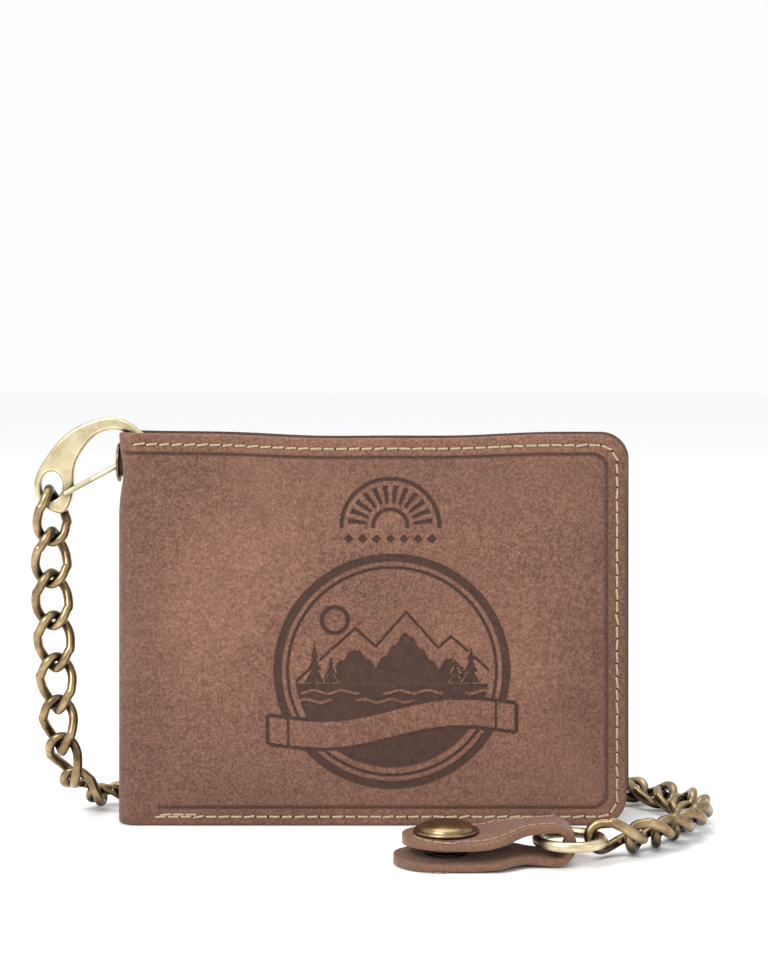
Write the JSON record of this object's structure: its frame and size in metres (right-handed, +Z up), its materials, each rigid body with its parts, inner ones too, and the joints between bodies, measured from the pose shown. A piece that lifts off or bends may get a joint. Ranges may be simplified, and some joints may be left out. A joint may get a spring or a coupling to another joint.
{
  "type": "chain wallet",
  "caption": "Bifold leather chain wallet standing on its edge, with a spine eyelet, flat carabiner, twisted curb chain, ring and snap belt tab.",
  "frame": {"origin": "middle of the closed wallet's bottom edge, on the surface it stands on", "axes": "+X along the wallet from the spine to the open edges, +Y from the front cover towards the back cover, +Z up"},
  "size_m": [0.169, 0.0812, 0.1001],
  "materials": {
    "leather_brown": "matte",
    "leather_strap": "satin",
    "lining": "matte",
    "antique_brass": "satin",
    "thread": "matte"
  },
  "bodies": {
    "back_half": {"back_cover": "leather_brown", "spine": "leather_brown", "spine_eyelet": "antique_brass", "spine_eyelet_washer": "antique_brass", "back_lining": "lining", "bill_divider": "lining", "card_backing": "lining", "card_pocket_1": "lining", "card_pocket_2": "lining", "card_pocket_3": "lining", "card_pocket_4": "lining"},
    "front_half": {"front_cover": "leather_brown", "front_lining": "lining", "coin_pouch_back": "lining", "coin_pouch_front": "lining", "coin_snap_stud": "antique_brass"},
    "coin_flap_body": {"coin_flap": "lining", "coin_snap_cap": "antique_brass"},
    "carabiner": {"carabiner_body": "antique_brass"},
    "gate": {"carabiner_gate": "antique_brass"},
    "link_01": {"chain_link_01": "antique_brass"},
    "link_02": {"chain_link_02": "antique_brass"},
    "link_03": {"chain_link_03": "antique_brass"},
    "link_04": {"chain_link_04": "antique_brass"},
    "link_05": {"chain_link_05": "antique_brass"},
    "link_06": {"chain_link_06": "antique_brass"},
    "link_07": {"chain_link_07": "antique_brass"},
    "link_08": {"chain_link_08": "antique_brass"},
    "link_09": {"chain_link_09": "antique_brass"},
    "link_10": {"chain_link_10": "antique_brass"},
    "link_11": {"chain_link_11": "antique_brass"},
    "link_12": {"chain_link_12": "antique_brass"},
    "link_13": {"chain_link_13": "antique_brass"},
    "link_14": {"chain_link_14": "antique_brass"},
    "link_15": {"chain_link_15": "antique_brass"},
    "link_16": {"chain_link_16": "antique_brass"},
    "link_17": {"chain_link_17": "antique_brass"},
    "link_18": {"chain_link_18": "antique_brass"},
    "link_19": {"chain_link_19": "antique_brass"},
    "link_20": {"chain_link_20": "antique_brass"},
    "link_21": {"chain_link_21": "antique_brass"},
    "link_22": {"chain_link_22": "antique_brass"},
    "link_23": {"chain_link_23": "antique_brass"},
    "link_24": {"chain_link_24": "antique_brass"},
    "link_25": {"chain_link_25": "antique_brass"},
    "link_26": {"chain_link_26": "antique_brass"},
    "link_27": {"chain_link_27": "antique_brass"},
    "link_28": {"chain_link_28": "antique_brass"},
    "link_29": {"chain_link_29": "antique_brass"},
    "link_30": {"chain_link_30": "antique_brass"},
    "link_31": {"chain_link_31": "antique_brass"},
    "ring": {"o_ring": "antique_brass"},
    "tab_base": {"tab_strap": "leather_strap", "tab_snap_stud": "antique_brass"},
    "tab_upper": {"tab_flap": "leather_strap", "tab_snap_cap": "antique_brass", "tab_snap_socket": "antique_brass"}
  },
  "joints": [
    {"name": "front_open", "type": "hinge", "parent": "back_half", "child": "front_half", "pos_m": [-0.063, -0.0095, 0], "axis": [0, 0, -1], "range_deg": [0, 12]},
    {"name": "coin_flap_open", "type": "hinge", "parent": "front_half", "child": "coin_flap_body", "pos_m": [0, -0.0027, 0.084], "axis": [1, 0, 0], "range_deg": [0, 5]},
    {"name": "carabiner_swing", "type": "hinge", "parent": "back_half", "child": "carabiner", "pos_m": [-0.063, 0, 0.08875], "axis": [0, 1, 0], "range_deg": [0, 15]},
    {"name": "gate_open", "type": "hinge", "parent": "carabiner", "child": "gate", "pos_m": [-0.07635, 0, 0.0811], "axis": [0, -1, 0], "range_deg": [0, 4], "stiffness_Nm_per_rad": 0.03, "springref_deg": -11.46},
    {"name": "tab_flap_open", "type": "hinge", "parent": "tab_base", "child": "tab_upper", "pos_m": [0.0464, -0.046, 0.005], "axis": [0, 1, 0], "range_deg": [0, 45]},
    {"name": "tab_lift", "type": "hinge", "parent": "ring", "child": "tab_base", "pos_m": [0.0378, -0.046, 0.0052], "axis": [0, 1, 0], "range_deg": [0, 6]},
    {"name": "ring_swing", "type": "hinge", "parent": "link_31", "child": "ring", "pos_m": [0.05226, -0.04377, 0.0052], "axis": [0, 0, 1], "range_deg": [0, 4]},
    {"name": "chain_joint_01", "type": "hinge", "parent": "carabiner", "child": "link_01", "pos_m": [-0.08083, 0, 0.08088], "axis": [0, 1, 0], "range_deg": [0, 12]},
    {"name": "chain_joint_02", "type": "hinge", "parent": "link_01", "child": "link_02", "pos_m": [-0.07997, 0, 0.07016], "axis": [0, 1, 0], "range_deg": [0, 8]},
    {"name": "chain_joint_03", "type": "hinge", "parent": "link_02", "child": "link_03", "pos_m": [-0.0804, 0, 0.05965], "axis": [0, 1, 0], "range_deg": [0, 8]},
    {"name": "chain_joint_04", "type": "hinge", "parent": "link_03", "child": "link_04", "pos_m": [-0.07983, 0, 0.04916], "axis": [0, 1, 0], "range_deg": [0, 8]},
    {"name": "chain_joint_05", "type": "hinge", "parent": "link_04", "child": "link_05", "pos_m": [-0.07918, 0, 0.03868], "axis": [0, 1, 0], "range_deg": [0, 8]},
    {"name": "chain_joint_06", "type": "hinge", "parent": "link_05", "child": "link_06", "pos_m": [-0.07871, -0.00014, 0.02819], "axis": [0, 1, 0], "range_deg": [0, 4]},
    {"name": "chain_joint_07", "type": "hinge", "parent": "link_06", "child": "link_07", "pos_m": [-0.07815, 0.00029, 0.01817], "axis": [0, 0, 1], "range_deg": [0, 6]},
    {"name": "chain_joint_08", "type": "hinge", "parent": "link_07", "child": "link_08", "pos_m": [-0.07569, 0.00305, 0.00921], "axis": [0, 0, 1], "range_deg": [0, 6]},
    {"name": "chain_joint_09", "type": "hinge", "parent": "link_08", "child": "link_09", "pos_m": [-0.07008, 0.00884, 0.00362], "axis": [0, 1, 0], "range_deg": [0, 8]},
    {"name": "chain_joint_10", "type": "hinge", "parent": "link_09", "child": "link_10", "pos_m": [-0.06208, 0.01432, 0.00309], "axis": [0, 1, 0], "range_deg": [0, 8]},
    {"name": "chain_joint_11", "type": "hinge", "parent": "link_10", "child": "link_11", "pos_m": [-0.05289, 0.01665, 0.00377], "axis": [0, 1, 0], "range_deg": [0, 8]},
    {"name": "chain_joint_12", "type": "hinge", "parent": "link_11", "child": "link_12", "pos_m": [-0.04351, 0.01727, 0.00356], "axis": [0, 1, 0], "range_deg": [0, 8]},
    {"name": "chain_joint_13", "type": "hinge", "parent": "link_12", "child": "link_13", "pos_m": [-0.03415, 0.0177, 0.00351], "axis": [0, 1, 0], "range_deg": [0, 8]},
    {"name": "chain_joint_14", "type": "hinge", "parent": "link_13", "child": "link_14", "pos_m": [-0.02479, 0.01791, 0.00353], "axis": [0, 1, 0], "range_deg": [0, 8]},
    {"name": "chain_joint_15", "type": "hinge", "parent": "link_14", "child": "link_15", "pos_m": [-0.01543, 0.01798, 0.00358], "axis": [0, -1, 0], "range_deg": [0, 8]},
    {"name": "chain_joint_16", "type": "hinge", "parent": "link_15", "child": "link_16", "pos_m": [-0.00607, 0.01801, 0.00362], "axis": [0, 1, 0], "range_deg": [0, 8]},
    {"name": "chain_joint_17", "type": "hinge", "parent": "link_16", "child": "link_17", "pos_m": [0.00329, 0.01809, 0.00363], "axis": [0, -1, 0], "range_deg": [0, 8]},
    {"name": "chain_joint_18", "type": "hinge", "parent": "link_17", "child": "link_18", "pos_m": [0.01265, 0.01825, 0.00362], "axis": [0, 1, 0], "range_deg": [0, 8]},
    {"name": "chain_joint_19", "type": "hinge", "parent": "link_18", "child": "link_19", "pos_m": [0.022, 0.01854, 0.00361], "axis": [0, -1, 0], "range_deg": [0, 8]},
    {"name": "chain_joint_20", "type": "hinge", "parent": "link_19", "child": "link_20", "pos_m": [0.03135, 0.01905, 0.0036], "axis": [0, 1, 0], "range_deg": [0, 8]},
    {"name": "chain_joint_21", "type": "hinge", "parent": "link_20", "child": "link_21", "pos_m": [0.04068, 0.01976, 0.0036], "axis": [0, -1, 0], "range_deg": [0, 8]},
    {"name": "chain_joint_22", "type": "hinge", "parent": "link_21", "child": "link_22", "pos_m": [0.05005, 0.02042, 0.0036], "axis": [0, 1, 0], "range_deg": [0, 8]},
    {"name": "chain_joint_23", "type": "hinge", "parent": "link_22", "child": "link_23", "pos_m": [0.0595, 0.01977, 0.0036], "axis": [0, 0, 1], "range_deg": [0, 7]},
    {"name": "chain_joint_24", "type": "hinge", "parent": "link_23", "child": "link_24", "pos_m": [0.06822, 0.01583, 0.00361], "axis": [0, 0, 1], "range_deg": [0, 7]},
    {"name": "chain_joint_25", "type": "hinge", "parent": "link_24", "child": "link_25", "pos_m": [0.07501, 0.00905, 0.00356], "axis": [0, 0, 1], "range_deg": [0, 7]},
    {"name": "chain_joint_26", "type": "hinge", "parent": "link_25", "child": "link_26", "pos_m": [0.07882, 0.00026, 0.00365], "axis": [0, 0, 1], "range_deg": [0, 7]},
    {"name": "chain_joint_27", "type": "hinge", "parent": "link_26", "child": "link_27", "pos_m": [0.07928, -0.00927, 0.00386], "axis": [0, 0, 1], "range_deg": [0, 7]},
    {"name": "chain_joint_28", "type": "hinge", "parent": "link_27", "child": "link_28", "pos_m": [0.07692, -0.01845, 0.004], "axis": [0, 0, 1], "range_deg": [0, 7]},
    {"name": "chain_joint_29", "type": "hinge", "parent": "link_28", "child": "link_29", "pos_m": [0.07281, -0.02693, 0.00415], "axis": [0, 0, 1], "range_deg": [0, 7]},
    {"name": "chain_joint_30", "type": "hinge", "parent": "link_29", "child": "link_30", "pos_m": [0.06738, -0.03463, 0.00433], "axis": [0, 0, 1], "range_deg": [0, 7]},
    {"name": "chain_joint_31", "type": "hinge", "parent": "link_30", "child": "link_31", "pos_m": [0.06072, -0.04152, 0.00467], "axis": [0, 0, 1], "range_deg": [0, 7]}
  ],
  "couplings": [
    {"joint": "coin_flap_open", "follows": "front_open", "ratio": 0.4}
  ]
}
